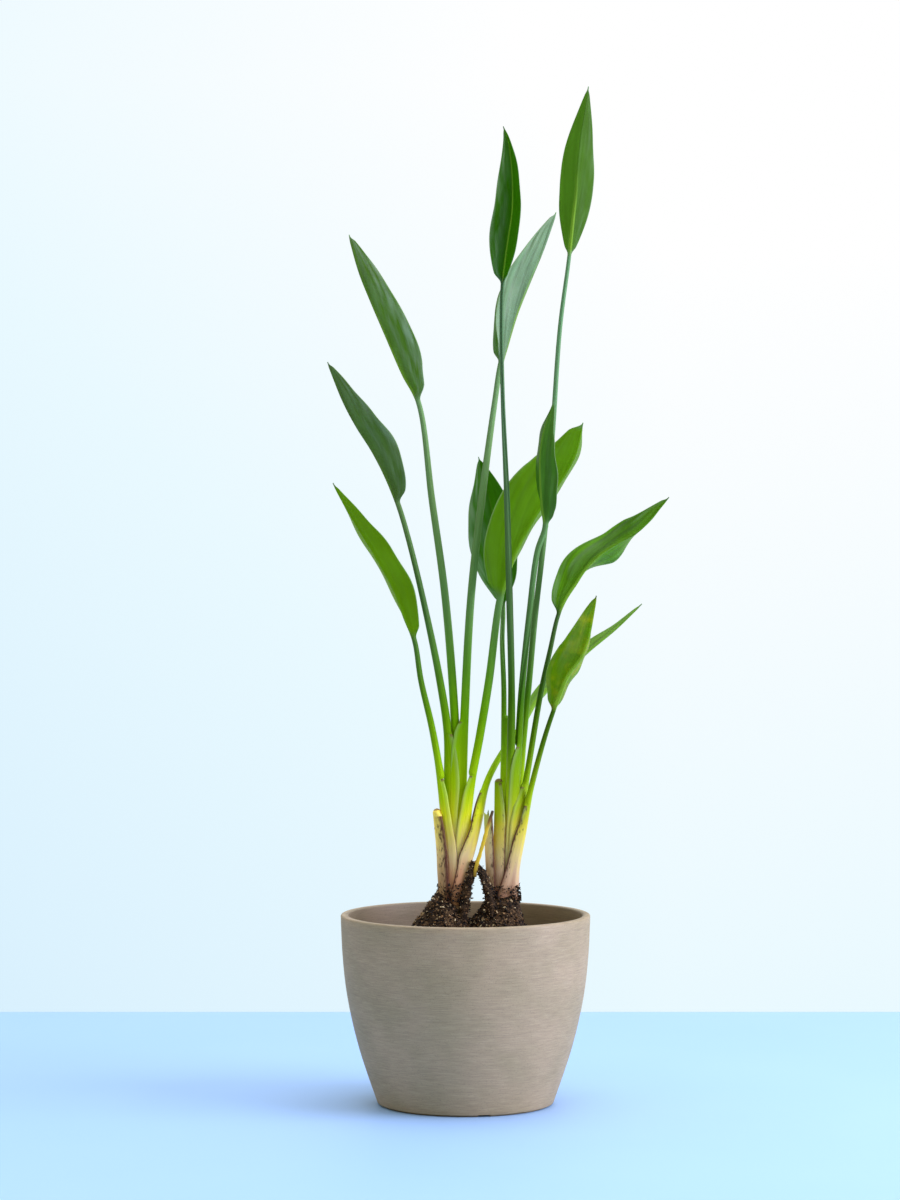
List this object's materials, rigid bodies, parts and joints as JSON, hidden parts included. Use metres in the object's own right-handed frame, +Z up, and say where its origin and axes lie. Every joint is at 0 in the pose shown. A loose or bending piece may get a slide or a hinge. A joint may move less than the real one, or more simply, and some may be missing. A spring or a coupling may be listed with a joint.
{
  "type": "potted bird of paradise plant",
  "caption": "Young bird of paradise with two shoots of long-stalked paddle leaves in a round taupe planter filled with potting soil.",
  "frame": {"origin": "centre of the planter's base, on the ground plane", "axes": "+Z up along the planter's axis, +X to the right and +Y away, seen from the front of the plant"},
  "size_m": [0.2727, 0.2, 0.8181],
  "materials": {
    "planter": "matt recycled plastic, taupe, with fine level streaks like brushed stone",
    "potting_soil": "rough moist peat with bark and coir chips, matt",
    "root": "old woody root caked with dry soil, matt",
    "rootstock": "fleshy tan root skin, matt",
    "leaf": "leathery evergreen leaf, waxy satin, lets some light through",
    "leaf_base": "waxy yellow-green sheath with a dried brown rim",
    "dry_sheath": "papery dried sheath, tan and purple-brown, matt"
  },
  "bodies": {
    "root": {"left_leaf_1": "leaf", "left_leaf_2": "leaf", "left_leaf_3": "leaf", "left_leaf_4": "leaf", "left_leaf_5": "leaf", "left_leaf_6": "leaf", "right_leaf_1": "leaf", "right_leaf_2": "leaf", "right_leaf_3": "leaf", "right_leaf_4": "leaf", "right_leaf_5": "leaf", "right_leaf_6": "leaf", "left_cut_leaf_base": "leaf_base", "right_cut_leaf_base": "leaf_base", "dried_sheath": "dry_sheath", "dried_strip": "dry_sheath", "left_rootstock": "rootstock", "right_rootstock": "rootstock", "old_root": "root", "potting_soil": "potting_soil", "pot": "planter"}
  },
  "joints": []
}
